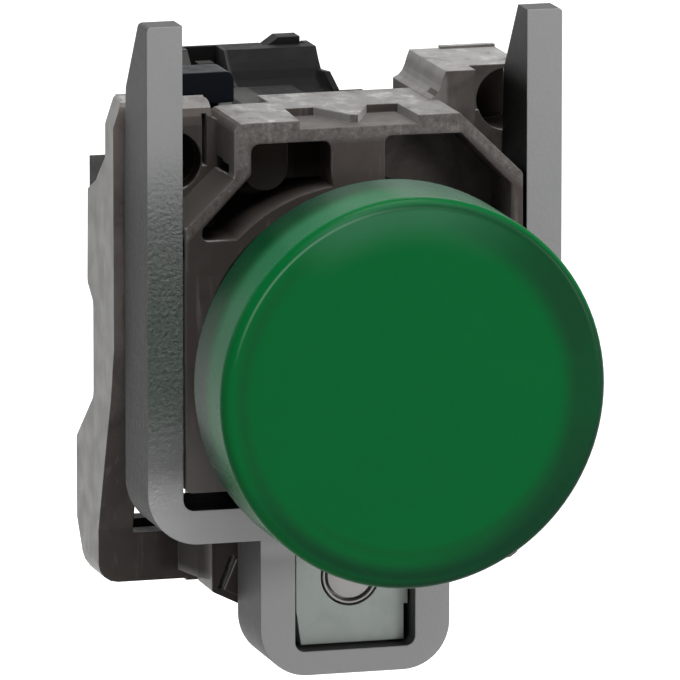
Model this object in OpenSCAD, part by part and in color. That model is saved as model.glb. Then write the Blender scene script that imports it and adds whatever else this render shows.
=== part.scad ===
// Panel pilot light for a 22 mm hole: lens head, die-cast fixing collar and clip-on light module.
// Millimetres. X to the right, Y into the panel, Z up. The origin is on the lens axis, in the plane
// of the clamp fork's front face. The panel lies between the seal behind the lens and that face.

/* [Head] */
// Outer diameter of the lens cap
lens_d = 27.46; // [26:0.02:28]
// Depth of the lens cap's straight side wall
lens_wall_depth = 6.7; // [5:0.1:7]
// Radius of the lens cap's front edge
lens_edge_r = 0.6; // [0.3:0.1:0.9]
// Gap between the clamp face and the back of the lens cap
lens_gap = 7.7; // [7.2:0.1:9]
// Diameter of the neck that passes through the panel
neck_d = 22; // [21.6:0.1:22]
// Thickness of the seal behind the lens cap
seal_t = 0.85; // [0.6:0.05:1.2]

/* [Clamp fork] */
// Width over both prongs
fork_w = 30; // [29.6:0.1:30.4]
// Width of one prong seen from the front
prong_w = 2.55; // [2:0.05:2.6]
// Height of the prong tips above the lens axis
prong_top = 23.75; // [22:0.05:25]
// Front-to-back thickness of the fork
fork_t = 6.1; // [5:0.1:6.2]
// Thickness of the prong tips
prong_tip_t = 2.25; // [1.5:0.05:3]
// Depth of the bridge's lower edge below the lens axis
bridge_bottom = 13; // [12.9:0.05:13.4]
// Depth of the tab's lower edge below the lens axis
tab_bottom = 22.85; // [22.4:0.05:24]
// Width of the tab under the bridge
tab_w = 13.75; // [13:0.05:14.5]
// Width of the window in the tab
window_w = 8.75; // [8.6:0.05:9.2]

/* [Collar] */
// Width of the rear frame
frame_w = 31.2; // [31:0.1:31.6]
// Wall thickness of the rear frame's sides
side_wall = 1.5; // [1.2:0.1:1.6]
// Width of the front block below its chamfers
block_w = 24.4; // [24:0.1:24.4]
// Height of the front block's top face above the lens axis
block_top = 16.65; // [16.2:0.05:17]
// Wall thickness round the block's pockets
block_wall = 1.1; // [0.9:0.1:1.3]
// Depth of the pockets in the block
pocket_depth = 5.4; // [4:0.1:6]
// Height of the right-hand post above the lens axis
post_top = 18.65; // [18:0.05:19.5]

/* [Clamp screw] */
// Thread diameter of the clamp screw
clamp_screw_d = 4; // [3.5:0.5:4]
// Depth of the clamp screw below the lens axis
clamp_screw_z = 16.15; // [16:0.05:16.4]

/* [Light module] */
// Width of the light module
module_w = 10; // [9.6:0.1:10.4]
// Distance of the module's rear face behind the clamp face
module_back = 39.3; // [39:0.1:41]
// Wall thickness of the module's housing
module_wall = 0.9; // [0.8:0.1:1]

/* [Hidden] */
$fn = 48;

// A little past a face, so that a cut runs clear through it
over = 0.5;

// Head
lens_r = lens_d / 2;
lens_back = -lens_gap;
lens_shoulder = lens_back - lens_wall_depth;
lens_front = lens_shoulder - lens_edge_r;
lens_wall = 1.3;
lens_face_t = 1.5;
cup_r = lens_r - lens_wall - 0.08;
cup_front = lens_front + 3.2;
cup_wall = 1.4;
neck_r = neck_d / 2;
light_r = 9.2;
groove_r = 9.95;
seal_r = lens_r - 0.4;

// Locking ring, seated behind the collar's front wall
wall_front = 6.95;
wall_t = 1.75;
foot_y = 11.45;
seat_y = 10.8;
ring_y0 = seat_y + 0.15;
ring_t = 1.7;
ring_y1 = ring_y0 + ring_t;
ring_r = 12.9;
ring_land_r = groove_r + 0.1;
ring_slot_r = neck_r + 0.2;
bayonet_angle = 50;
unlock_angle = 40;
ring_seat_r = ring_r + 0.3;
bore_r = neck_r + 0.15;

// Retainer behind the ring
retainer_y0 = ring_y1 + 0.2;
retainer_t = 1.8;
retainer_y1 = retainer_y0 + retainer_t;
retainer_screw_x = 11;
retainer_screw_z = 10.8;
rail_top = 14.1;
rail_t = 1.6;
rail_y1 = retainer_y1 + 2.2;
rail_bottom = -11.4;
hook_y = retainer_y1 + 0.2;
lip_t = 0.6;
neck_end = retainer_y1 - 0.5;

// Module
module_x = module_w / 2;
module_bottom = -12.6;
module_front = rail_y1 + 0.3;
cover_t = 1.2;
housing_back = module_back - cover_t - 0.1;
terminal_z = [9.2, -7.6];
terminal_half = 2.8;
bar_y = 25;
bar_t = 0.8;
bar_foot_drop = 2.3;
clamp_y = 28.5;
clamp_t = 1;
screw_head_y = clamp_y + 2.25;
screw_head_t = 2.1;
terminal_r = 1.6;
terminal_head_r = 2.8;
board_y = 20.3;
board_t = 1.1;
nose_r = 4.4;
nose_front = 8;
latch_x0 = 2.2;
latch_x1 = 4.3;
latch_pivot = [24, 13.2];
snap_z = -0.3;

// Draws children, an X-Z outline, from y0 to y1
module along_y(y0, y1) {
    translate([0, y1, 0]) rotate([90, 0, 0]) linear_extrude(y1 - y0) children();
}

// Draws children, a Y-Z outline, from x0 to x1
module along_x(x0, x1) {
    translate([x0, 0, 0]) rotate([90, 0, 90]) linear_extrude(x1 - x0) children();
}

// Turns children, a radius-Y outline, about the lens axis
module turned() {
    rotate([-90, 0, 0]) rotate_extrude() children();
}

// A round bar along Y, centred on [x, z]
module rod_y(x, z, r, y0, y1) {
    translate([x, y1, z]) rotate([90, 0, 0]) cylinder(r = r, h = y1 - y0);
}

// A box between two corners
module block(a, b) {
    translate(a) cube(b - a);
}

// A rectangle between two corners, with its lower and upper corners rounded
module rounded(a, b, r_low, r_high) {
    w = b.x - a.x;
    translate([a.x, a.y + r_low]) square([w, b.y - a.y - r_low - r_high]);
    translate([a.x + r_low, a.y]) square([w - 2 * r_low, r_low + 0.01]);
    translate([a.x + r_high, b.y - r_high - 0.01]) square([w - 2 * r_high, r_high + 0.01]);
    for (x = [a.x + r_low, b.x - r_low])
        translate([x, a.y + r_low]) circle(r_low);
    for (x = [a.x + r_high, b.x - r_high])
        translate([x, b.y - r_high]) circle(r_high);
}

function unit(v) = v / norm(v);

// Points of the arc that rounds corner b, between its neighbours a and c
function corner_arc(a, b, c, r, steps = 4) =
    let (u = unit(a - b), w = unit(c - b), half = acos(u * w) / 2)
    let (start = b + u * r / tan(half), centre = b + unit(u + w) * r / sin(half))
    let (end = b + w * r / tan(half))
    let (a0 = atan2(start.y - centre.y, start.x - centre.x))
    let (a1 = atan2(end.y - centre.y, end.x - centre.x))
    let (turn = a1 - a0 > 180 ? a1 - a0 - 360 : a1 - a0 < -180 ? a1 - a0 + 360 : a1 - a0)
    [for (i = [0:steps]) centre + r * [cos(a0 + turn * i / steps), sin(a0 + turn * i / steps)]];

// A polygon from [x, y] points, or [x, y, radius] points where a corner is rounded
module outline(points) {
    n = len(points);
    flat = [for (p = points) [p.x, p.y]];
    polygon([for (i = [0:n - 1]) each len(points[i]) > 2
        ? corner_arc(flat[(i + n - 1) % n], flat[i], flat[(i + 1) % n], points[i].z) : [flat[i]]]);
}

// A sector of a disc about the lens axis, angles counted from +Z towards +X
module sector(r, a0, a1) {
    steps = 12;
    polygon(concat([[0, 0]], [for (i = [0:steps])
        let (a = a0 + (a1 - a0) * i / steps) [r * sin(a), r * cos(a)]]));
}

// Lens cap: a cup with a rounded front edge
module lens_cap() {
    color("green") turned() difference() {
        union() {
            translate([0, lens_shoulder]) square([lens_r, lens_wall_depth]);
            translate([0, lens_front]) square([lens_r - lens_edge_r, lens_edge_r + over]);
            translate([lens_r - lens_edge_r, lens_shoulder]) circle(lens_edge_r);
        }
        translate([-over, lens_front + lens_face_t])
            square([lens_r - lens_wall + over, lens_wall_depth + lens_edge_r]);
        translate([-2 * lens_r, lens_front - over]) square([2 * lens_r, 2 * lens_gap + over]);
    }
}

// Diffuser: a thin shallow dish between the cap's face and the head's cup
module diffuser() {
    color("white") turned() {
        translate([0, lens_front + lens_face_t + 0.1]) square([cup_r - 1.6, 0.8]);
        translate([cup_r - 1.6, lens_front + lens_face_t + 0.1]) square([1.5, 1.5]);
    }
}

// Gasket ring in the groove of the head's cup
module lens_gasket() {
    color("dimgray") turned() translate([cup_r - 0.45, lens_back - 0.85]) circle(0.42, $fn = 24);
}

// Head body: cup inside the lens cap, neck through the panel, bayonet lugs behind the locking ring
module head_body() {
    color("dimgray") union() {
        turned() difference() {
            union() {
                translate([light_r, cup_front]) square([cup_r - light_r, lens_back - cup_front]);
                translate([light_r, lens_back - over]) square([neck_r - light_r, ring_y0 - lens_back + 0.4]);
                translate([light_r, ring_y0 - 0.2]) square([groove_r - light_r, neck_end - ring_y0 + 0.2]);
            }
            translate([light_r - over, cup_front - over])
                square([cup_r - cup_wall - light_r + over, lens_back - cup_front - 1]);
            translate([cup_r - 0.45, lens_back - 0.85]) circle(0.45, $fn = 24);
            translate([cup_r - 0.45, lens_back - 1.3]) square([1, 0.9]);
        }
        bayonet_lugs();
    }
}

// Two lugs at the end of the neck, behind the ring's lands when it is locked
module bayonet_lugs() {
    for (turn = [0, 180])
        along_y(ring_y1 + 0.1, neck_end) intersection() {
            sector(2 * neck_r, turn - bayonet_angle / 2, turn + bayonet_angle / 2);
            difference() {
                circle(neck_r);
                circle(groove_r - 0.2);
            }
        }
}

// Flat seal with a raised lip towards the panel
module panel_seal() {
    color("midnightblue") turned() {
        translate([neck_r + 0.05, lens_back + 0.05]) square([seal_r - neck_r - 0.05, seal_t - 0.25]);
        translate([neck_r + 0.6, lens_back + 0.2]) square([0.7, seal_t - 0.2]);
        translate([seal_r - 0.9, lens_back + 0.2]) square([0.7, seal_t - 0.2]);
    }
}

// Clamp fork: two prongs, a bridge cut round for the neck, and a tab with a window
fork_corner = 3.7;
fork_inner_z = -10.6;
window_top = -13.6;
window_bottom = -21.15;
module fork_outline() {
    difference() {
        union() {
            rounded([-fork_w / 2, -bridge_bottom], [fork_w / 2, prong_top], fork_corner, 0.3);
            rounded([-tab_w / 2, -tab_bottom], [tab_w / 2, -bridge_bottom + 1.2], 3.4, 0.3);
        }
        rounded([-fork_w / 2 + prong_w, fork_inner_z], [fork_w / 2 - prong_w, prong_top + 5], 0.8, 0.8);
        circle(neck_r + 0.35);
        rounded([-window_w / 2, window_bottom], [window_w / 2, window_top], 0.7, 0.7);
    }
}

module clamp_fork() {
    bevel_z = 18.6;
    color("darkgray") difference() {
        along_y(0, fork_t) fork_outline();
        along_x(-fork_w / 2 - over, fork_w / 2 + over)
            polygon([[prong_tip_t, prong_top + over], [prong_tip_t, prong_top],
                [fork_t - 0.35, bevel_z], [fork_t + over, bevel_z - 14], [fork_t + over, prong_top + over]]);
    }
}

// Pressure plate in the tab's window, with a flange behind the tab; the screw's end turns in it
plate_front = 1.3;
flange_t = 0.6;
plate_back = fork_t + 0.02 + flange_t;
rivet_r = 1.62;
swivel_r = 1.25;
module pressure_plate() {
    notch_z = -18.4;
    z = -clamp_screw_z;
    color("silver") difference() {
        union() {
            along_y(plate_front, plate_back - 0.1) difference() {
                translate([-3.95, -20.95]) square([8.15, 7]);
                polygon([[-4.5, -22], [-3.6, -22], [-3.6, -20.95], [-3.95, notch_z], [-4.5, notch_z]]);
                translate([3.9, -22]) square([1, notch_z + 22]);
            }
            along_y(plate_back - flange_t, plate_back) rounded([-5.4, -21.6], [5.4, -14.4], 0.8, 0.8);
        }
        rod_y(0, z, rivet_r + 0.1, plate_front - over, plate_front + 0.9);
        rod_y(0, z, swivel_r + 0.05, plate_front, plate_back + over);
    }
}

// Clamp screw: threaded in the lug, riveted end in the pressure plate, slotted head at the back
lug_front = 7;
lug_back = foot_y + wall_t;
clamp_travel = 5.6;
head_y = lug_back + clamp_travel + 0.2;
head_t = 2.4;
head_r = 3.1;
module clamp_screw() {
    z = -clamp_screw_z;
    color("lightgray") difference() {
        union() {
            rod_y(0, z, rivet_r - 0.3, plate_front - 0.02, plate_front + 0.2);
            rod_y(0, z, rivet_r, plate_front + 0.05, plate_front + 0.8);
            rod_y(0, z, swivel_r, plate_front + 0.1, head_y);
            rod_y(0, z, clamp_screw_d / 2, plate_back + 0.03, head_y + 0.2);
            rod_y(0, z, head_r, head_y, head_y + head_t);
        }
        drive_recess(z, head_r, head_y + head_t);
    }
}

// Slot and cross in a screw head that faces backwards, centred on z
module drive_recess(z, r, y_top) {
    block([-r - over, y_top - 1, z - 0.35], [r + over, y_top + over, z + 0.35]);
    block([-0.35, y_top - 1.5, z - 0.62 * r], [0.35, y_top + over, z + 0.62 * r]);
}

// Collar body
block_x = block_w / 2;
block_front = 0.1;
block_bottom = -9.35;
step_x = -8.6;
step_z = 12.85;
chamfer_left_z = 9.4;
corner_right_x = 7.62;
chamfer_right_z = 12.2;
rib_left = -1.6;
rib_right = 2.15;
pocket_top = block_top - 1.5;
pocket_bottom = 8.45;
tube_r = 12;
frame_x = frame_w / 2;
frame_bottom = -17.95;
frame_top = 17.5;
slope_start = -0.3;
foot_z = -14.1;
notch_y = 12.7;
sill_y = 17.55;
post_x0 = 8.15;
post_x1 = 14.3;

// Outline of the front block: stepped on the left, chamfered on both sides
module block_outline() {
    outline([[-block_x, block_bottom, 0.4], [block_x, block_bottom, 0.4], [block_x, chamfer_right_z, 0.5],
        [corner_right_x, block_top, 0.3], [step_x, block_top, 0.7], [step_x, step_z, 0.6],
        [-block_x, chamfer_left_z, 0.5]]);
}

// The pockets either side of the middle rib, open towards the panel
module pocket_outlines() {
    left_x = step_x + block_wall;
    right_x = block_x - 0.75;
    difference() {
        union() {
            outline([[rib_left, pocket_top, 0.7], [rib_left, 8], [-7, 7.5], [-7, pocket_bottom],
                [-11.1, pocket_bottom, 0.5], [-11, 9.35, 0.5], [left_x, step_z + 0.15, 0.4],
                [left_x, pocket_top, 0.6]]);
            outline([[rib_right, pocket_top + 0.15, 0.5], [rib_right, 8], [6, pocket_bottom - 1],
                [right_x, pocket_bottom - 1, 0.4], [right_x, 11.4, 0.4], [7.7, pocket_top + 0.1, 0.2]]);
        }
        circle(tube_r);
    }
}

// Shallow bays behind the top front edge, with a pointer between them
module top_bays() {
    bay_depth = 0.6;
    translate([0, 0, block_top - bay_depth]) linear_extrude(bay_depth + over)
        polygon([[-4, -over], [-4, 0.6], [-3.7, 5.35], [-1.75, 5.2], [0.05, 1.6], [0.6, 1.45],
            [2.35, 5.3], [4.45, 4.9], [4.6, 0.6], [4.6, -over]]);
}

// The front face of the wall and of the sides, from the top down
FRONT_LINE = [[wall_front, slope_start], [7.85, -4.05], [9.3, -7.9], [10.65, -11.75],
    [foot_y, foot_z], [foot_y, frame_bottom]];

// The front wall's section: upright above, leaning back below
module wall_section() {
    last = len(FRONT_LINE) - 1;
    polygon(concat([[wall_front, 15.5]], FRONT_LINE,
        [for (i = [last:-1:0]) FRONT_LINE[i] + [wall_t, 0]], [[wall_front + wall_t, 15.5]]));
}

// The side walls' section, with the notches of its back edge
module side_section() {
    outline(concat([[wall_front, frame_top, 0.9]], FRONT_LINE,
        [[15.1, frame_bottom], [15.65, -17.05, 0.6], [sill_y, -14.3, 0.5], [sill_y, -8.5, 0.4],
        [notch_y, -4.7, 1], [notch_y, 2.1, 0.8], [14.3, 3.25, 0.5], [14.1, 9.95, 0.3], [11.8, 11, 0.5],
        [9.2, 13.1, 0.5], [9.15, frame_top, 0.3]]));
}

// Outline of the rear frame seen from the front
module frame_outline() {
    outline([[-frame_x, frame_bottom, 1.4], [frame_x, frame_bottom, 1.4], [frame_x, 15.5, 1],
        [frame_x - 0.65, frame_top, 0.3], [-frame_x + 0.65, frame_top, 0.3], [-frame_x, 15.5, 1]]);
}

// Rear frame: front wall, two sides, floor and sill
module rear_frame() {
    floor_x = frame_x - side_wall + 0.2;
    intersection() {
        union() {
            along_x(-frame_x, frame_x) wall_section();
            for (x = [-frame_x, frame_x - side_wall])
                along_x(x, x + side_wall) side_section();
            block([-floor_x, foot_y, frame_bottom], [floor_x, 15.1, frame_bottom + 1.5]);
            block([-floor_x, 15, frame_bottom + 0.9], [floor_x, 16.6, frame_bottom + 2.4]);
            block([-floor_x, 15.9, -16.6], [floor_x, sill_y, -14.4]);
        }
        along_y(wall_front, sill_y) frame_outline();
    }
    block([-9.2, foot_y, frame_bottom - 0.15], [9.2, 14, frame_bottom + over]);
    rod_y(0, 0, bore_r + 1.9, wall_front, seat_y);
}

// Ear on the left with a round hole beside a slit
module left_ear() {
    difference() {
        union() {
            along_x(-12.2, -8.9) outline([[5.2, 9], [7.4, 9], [7.4, 17.35, 0.3], [5.2, 17.35, 1.6]]);
            along_y(5.2, wall_front + over) outline([[-9.2, 9], [-8.2, 12.2], [-8.2, 15.9, 0.5], [-9.2, 16.4]]);
            along_x(-frame_x + 0.8, -8.9) outline([[wall_front, 9], [9.5, 12], [9.5, frame_top, 0.3],
                [wall_front, frame_top, 1.2]]);
        }
        rod_y(-11.8, 13.25, 2.12, 4, 11);
        block([-9.65, 4, 12.85], [-9.3, 7.2, 16.5]);
    }
}

// Post on the right: its left flank is hollowed, and its right part is set back round a blind hole
post_hole = [13.1, post_top - 2.5];
post_hole_r = 2.2;
module right_post() {
    recess_x = 10.3;
    flank = [[post_x0, post_top], [7.95, 18.1], [7.8, 17.6], [7.62, 17.2], [7.35, 16.9], [6.95, 16.68]];
    difference() {
        union() {
            along_y(5.5, 9.2) polygon(concat(flank, [[6.95, 16], [8, 12], [9, 11], [13.4, 11], [13.4, 13.8],
                [post_x1, 13.8], [post_x1, post_top]]));
            along_y(9.1, 14.8) polygon(concat(flank, [[6.95, 14.6], [10.5, 14.6], [10.5, 13.4],
                [post_x1, 13.4], [post_x1, post_top]]));
        }
        block([recess_x, 5, 10], [post_x1 + over, 7.3, post_top + over]);
    }
    // Low ridge along the rear edge of the top
    block([recess_x, 14.2, post_top - 0.5], [post_x1, 14.8, post_top + 0.2]);
}

// Lug under the frame that carries the clamp screw, with a groove on each side
module screw_lug() {
    side_x = 8.5;
    difference() {
        along_y(lug_front, lug_back)
            outline([[-side_x, -14.6], [-side_x, -18.05, 0.2], [-6.4, -19.1], [-3, -20.3, 0.6],
                [3, -20.3, 0.6], [6.4, -19.1], [side_x, -18.05, 0.2], [side_x, -14.6]]);
        for (side = [-1, 1])
            along_y(lug_front - over, lug_front + 1)
                polygon([[side * 7.2, -15.5], [side * 6.85, -15.5], [side * 7.75, -17.9], [side * 8.1, -17.9]]);
        along_x(-10, 10) polygon([[8.5, -21], [16, -21], [16, -17.8], [11, -17.8]]);
    }
    for (side = [-1, 1]) {
        along_y(lug_front - 0.25, lug_front + 0.1)
            polygon([[side * 5.9, -15.8], [side * 6.75, -15.8], [side * 7.65, -17.9], [side * 5.9, -18.7]]);
        translate([0, 0, frame_bottom + 0.65]) linear_extrude(3.35)
            polygon([[side * 8.4, 7.6], [side * 9.1, 8.6], [side * 9.9, foot_y + over], [side * 8.4, foot_y + over]]);
    }
}

module collar_body() {
    color("gray") difference() {
        union() {
            difference() {
                along_y(block_front, wall_front + over) block_outline();
                along_y(block_front - over, block_front + pocket_depth) pocket_outlines();
                top_bays();
            }
            // A round-ended boss and a higher floor in the left pocket
            along_y(2.6, wall_front) {
                translate([-5.8, 13]) circle(1.62);
                translate([-7.6, 13]) square([3.42, pocket_top - 12.7]);
            }
            along_y(3.3, wall_front) translate([-4.3, 12.05]) square([rib_left + 4.5, pocket_top - 11.8]);
            // The top plate runs further back in the middle
            block([step_x + 0.8, 5, 14.9], [corner_right_x - 0.4, 7.7, block_top]);
            block([-4.15, wall_front, 14.2], [7.2, 10.7, block_top]);
            rear_frame();
            left_ear();
            right_post();
            screw_lug();
            retainer_pads();
        }
        collar_cuts();
    }
}

// Pads on the back of the front wall, where the retainer is screwed on
module retainer_pads() {
    for (side = [-1, 1])
        rod_y(side * retainer_screw_x, retainer_screw_z, 1.9, wall_front + over, retainer_y0);
}

// What is cut through the whole casting
module collar_cuts() {
    rod_y(0, 0, bore_r, block_front - over, 14);
    // Seat of the locking ring and the retainer, and the lever's way out at the top
    rod_y(0, 0, ring_seat_r, seat_y, 16);
    along_y(seat_y, 16) sector(19.3, -33, 22);
    for (way = [[grip_y0 - 0.2, seat_y, 21, 17.85], [seat_y, 16, 21.6, 17.7]])
        along_y(way[0], way[1]) intersection() {
            sector(24, -33.4, way[2]);
            difference() {
                circle(24);
                circle(way[3]);
            }
        }
    rod_y(post_hole.x, post_hole.y, post_hole_r, 5, 12);
    // Screw holes
    rod_y(0, -clamp_screw_z, clamp_screw_d / 2 + 0.1, 6, 17);
    for (side = [-1, 1])
        rod_y(side * retainer_screw_x, retainer_screw_z, 0.85, wall_front + 0.6, retainer_y0 + over);
    // Windows low in the front wall, and the way for a screwdriver through the sill
    for (side = [-1, 1])
        block([side > 0 ? 9 : -13.1, 8, -14.45], [side > 0 ? 13.1 : -9, 14, -11.2]);
    block([-4, lug_back + 0.05, -20], [4, 21, -12]);
    // Small slot in the corner above the left chamfer, deeper at its rear end
    block([step_x - 0.2, 1.9, 12.75], [-8.1, 3.6, 13.45]);
    block([step_x - 0.2, 3.5, 12.7], [-7.75, 5.2, 13.6]);
}

lever_angle = -25.4;
arm_half_angle = 5.2;
arm_r = 18.6;
// Steel locking ring: two lands in the neck's groove and two slots that let the lugs through
module locking_ring() {
    color("silver") difference() {
        union() {
            rod_y(0, 0, ring_r, ring_y0, ring_y1);
            along_y(ring_y0, ring_y1) intersection() {
                sector(2 * ring_r, lever_angle - arm_half_angle, lever_angle + arm_half_angle);
                circle(arm_r);
            }
        }
        rod_y(0, 0, ring_land_r, ring_y0 - over, ring_y1 + over);
        for (turn = [0, 180])
            along_y(ring_y0 - over, ring_y1 + over) intersection() {
                sector(2 * neck_r, turn - unlock_angle - bayonet_angle / 2 - 3,
                    turn - unlock_angle + bayonet_angle / 2 + 3);
                circle(ring_slot_r);
            }
    }
}

// Thumb grip moulded over the end of the locking ring's lever
grip_y0 = 7.95;
grip_low = [-10.7, 16.75];
grip_high = [-6.6, 18.95];
module lever_grip() {
    color("black") difference() {
        union() {
            along_y(grip_y0, ring_y0 + 0.2) rounded(grip_low, grip_high, 0.1, 0.6);
            along_y(seat_y + 0.12, ring_y1 + 0.45) rounded([grip_low.x, 15.3], [-6.9, 18.4], 0.3, 0.5);
        }
        along_y(ring_y0 - 0.02, ring_y1 + 0.02) intersection() {
            sector(2 * ring_r, lever_angle - arm_half_angle - 0.05, lever_angle + arm_half_angle + 0.05);
            circle(arm_r + 0.02);
        }
        along_y(seat_y - 0.1, ring_y0 + 3) circle(17.2);
    }
}

// Plastic retainer: holds the ring in and carries the rails for the module
module ring_retainer() {
    side_x = frame_x - side_wall - 0.25;
    ear_x = frame_x - 0.1;
    ear_y0 = 9.75;
    ear_y1 = 13.95;
    color("black") difference() {
        union() {
            along_y(retainer_y0, retainer_y1) {
                circle(ring_r);
                translate([-side_x, 2]) square([2 * side_x, 10.4]);
                translate([-9, 8]) square([16, rail_top - 8]);
                translate([2.9, 13]) square([1.7, 3]);
            }
            block([-9, retainer_y1 - over, rail_top - rail_t], [7, rail_y1, rail_top]);
            block([-7, retainer_y1 - over, rail_bottom], [7, rail_y1, rail_bottom + rail_t]);
            for (side = [-1, 1])
                along_x(side > 0 ? side_x - 0.5 : -ear_x, side > 0 ? ear_x : -side_x + 0.5)
                    polygon([[ear_y0, 13.1], [ear_y1, 12.35], [ear_y1, 10.1], [11.85, 11.15], [ear_y0, 12.95]]);
        }
        rod_y(0, 0, neck_r + 0.3, retainer_y0 - over, rail_y1 + over);
        // Grooves that take the lips of the module's hooks
        block([-4.2, hook_y, rail_top - lip_t - 0.1], [4.6, hook_y + 0.8, rail_top + over]);
        block([-4.2, hook_y, rail_bottom - over], [4.2, hook_y + 0.8, rail_bottom + lip_t + 0.1]);
        for (side = [-1, 1])
            rod_y(side * retainer_screw_x, retainer_screw_z, 1.1, retainer_y0 - over, retainer_y1 + over);
    }
}

// Two small screws that hold the retainer
module retainer_screws() {
    color("lightgray") for (side = [-1, 1])
        translate([side * retainer_screw_x, 0, 0]) difference() {
            union() {
                rod_y(0, retainer_screw_z, 0.8, wall_front + 0.8, retainer_y1 + 0.3);
                rod_y(0, retainer_screw_z, 1.9, retainer_y1 + 0.02, retainer_y1 + 1.2);
            }
            drive_recess(retainer_screw_z, 1.9, retainer_y1 + 1.5);
        }
}

// Light module housing
module housing_section() {
    polygon([[module_front, module_bottom + 0.8], [module_front + 0.8, module_bottom],
        [housing_back, module_bottom], [housing_back, 13.4],
        [30.6, 16.8], [28.1, 16.8], [27.4, 16], [26.8, 15.45], [26, 14.95], [25, 14.65], [23.8, 14.5],
        [22.1, 14.45], [21, 12.2], [module_front, 12.2]]);
}

// Cheek at the housing's right side, higher than the slope beside it
module right_cheek() {
    along_x(module_x - 0.42, module_x) polygon([[21, 12.2], [21.9, 14.7], [24.3, 15.6], [26.9, 15.35],
        [28.1, 16.75], [30, 16.75], [30, 12.2]]);
}

// Shallow panels, grip grooves and snap windows in both sides of the housing
module side_details() {
    depth = 0.3;
    for (side = [-1, 1]) {
        x = side > 0 ? module_x - depth : -module_x - over;
        block([x, 19.6, -10.6], [x + depth + over, 32.2, -4.4]);
        block([x, 19.6, 4], [x + depth + over, 32.2, 10.2]);
        for (i = [0:2])
            block([x, 33.2 + i * 0.75, -3.2], [x + depth + over, 33.55 + i * 0.75, 3.2]);
        block([x - 1, housing_back - 2.2, snap_z - 0.2], [x + depth + over + 1, housing_back - 1, snap_z + 3.2]);
        // Slots over the board
        for (i = [0:3])
            block([x - 1, 19 + i * 1.1, -1.6], [x + depth + over + 1, 19.5 + i * 1.1, 1.6]);
    }
}

module module_housing() {
    inner_x = module_x - module_wall;
    color("black") difference() {
        union() {
            along_x(-module_x, module_x) housing_section();
            right_cheek();
            rod_y(0, 0, nose_r, nose_front + 1, module_front + over);
            // Fixed hook over the upper rail and foot under the lower rail
            block([-3.8, hook_y + 0.1, rail_top + 0.1], [1.6, 22.5, rail_top + 1]);
            block([-3.8, hook_y + 0.1, rail_top - lip_t], [1.6, hook_y + 0.7, rail_top + 0.5]);
            block([-3.8, hook_y + 0.1, rail_bottom - 1.1], [3.8, module_front + over, rail_bottom - 0.1]);
            block([-3.8, hook_y + 0.1, rail_bottom - 0.5], [3.8, hook_y + 0.7, rail_bottom + lip_t]);
        }
        // Nose bore and electronics space
        rod_y(0, 0, nose_r - 0.9, nose_front, module_front + 2);
        block([-inner_x, module_front + module_wall, module_bottom + module_wall], [inner_x, 23.6, 11.4]);
        block([-inner_x, 23, -2.6], [inner_x, housing_back + over, 4.9]);
        for (i = [0, 1])
            terminal_chamber(terminal_z[i], i == 0 ? 1 : -1);
        // Lower ground beside the raised top, where the left wire entry is
        difference() {
            block([-4.3, 24.9, 14.4], [-1.85, 30.2, 18]);
            block([-3.7, 28.4, 14], [-2.5, 29.4, 15.9]);
        }
        along_x(-module_x - over, -4.2) polygon([[24, 14.45], [25.2, 14.55], [27.2, 15.2], [29, 16.7],
            [29, 19], [24, 19]]);
        latch_slot();
        side_details();
    }
}

// Space round one terminal: cage travel, screw way from the back, wire entries from above or below
module terminal_chamber(z, up) {
    inner_x = module_x - module_wall;
    half = terminal_half;
    block([-inner_x, 24.3, z - half], [inner_x, screw_head_y + 1.6, z + half]);
    rod_y(0, z, terminal_r + 0.3, 22, screw_head_y + over);
    rod_y(0, z, terminal_head_r + 0.3, screw_head_y - over, housing_back + over);
    for (side = up > 0 ? [-1] : [-1, 1])
        block([side > 0 ? 1.9 : -inner_x - 0.1, 25.9, up > 0 ? z : z - 8],
            [side > 0 ? inner_x + 0.1 : -1.9, 28.3, up > 0 ? z + 8 : z]);
    // Funnel edges of the lower wire entries
    if (up < 0)
        for (side = [-1, 1])
            block([side > 0 ? 1.6 : -inner_x - 0.3, 25.6, module_bottom - over],
                [side > 0 ? inner_x + 0.3 : -1.6, 28.6, module_bottom + 0.45]);
    // Slot where the contact bar passes to the board
    foot_z = z - up * bar_foot_drop;
    block([-1.6, board_y, foot_z - 0.75], [1.6, 25, foot_z + 0.75]);
}

// Slot in the top right of the housing, where the latch lies
module latch_slot() {
    x0 = latch_x0 - 0.25;
    x1 = latch_x1 + 0.25;
    along_x(x0, x1) polygon([[16, 12.25], [26.5, 12.25], [33.6, 14], [33.6, 19], [29.4, 19], [29.4, 16.3],
        [28.5, 16.3], [27.2, 15.1], [26.2, 14.55], [24.8, 14.2], [22.6, 14.2], [22.6, 19], [16, 19]]);
    block([1.45, 29.4, 14.2], [x1, 33.6, 19]);
    translate([x0 - 0.9, latch_pivot.x, latch_pivot.y]) rotate([0, 90, 0]) cylinder(r = 0.75, h = x1 - x0 + 1.4);
}

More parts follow.
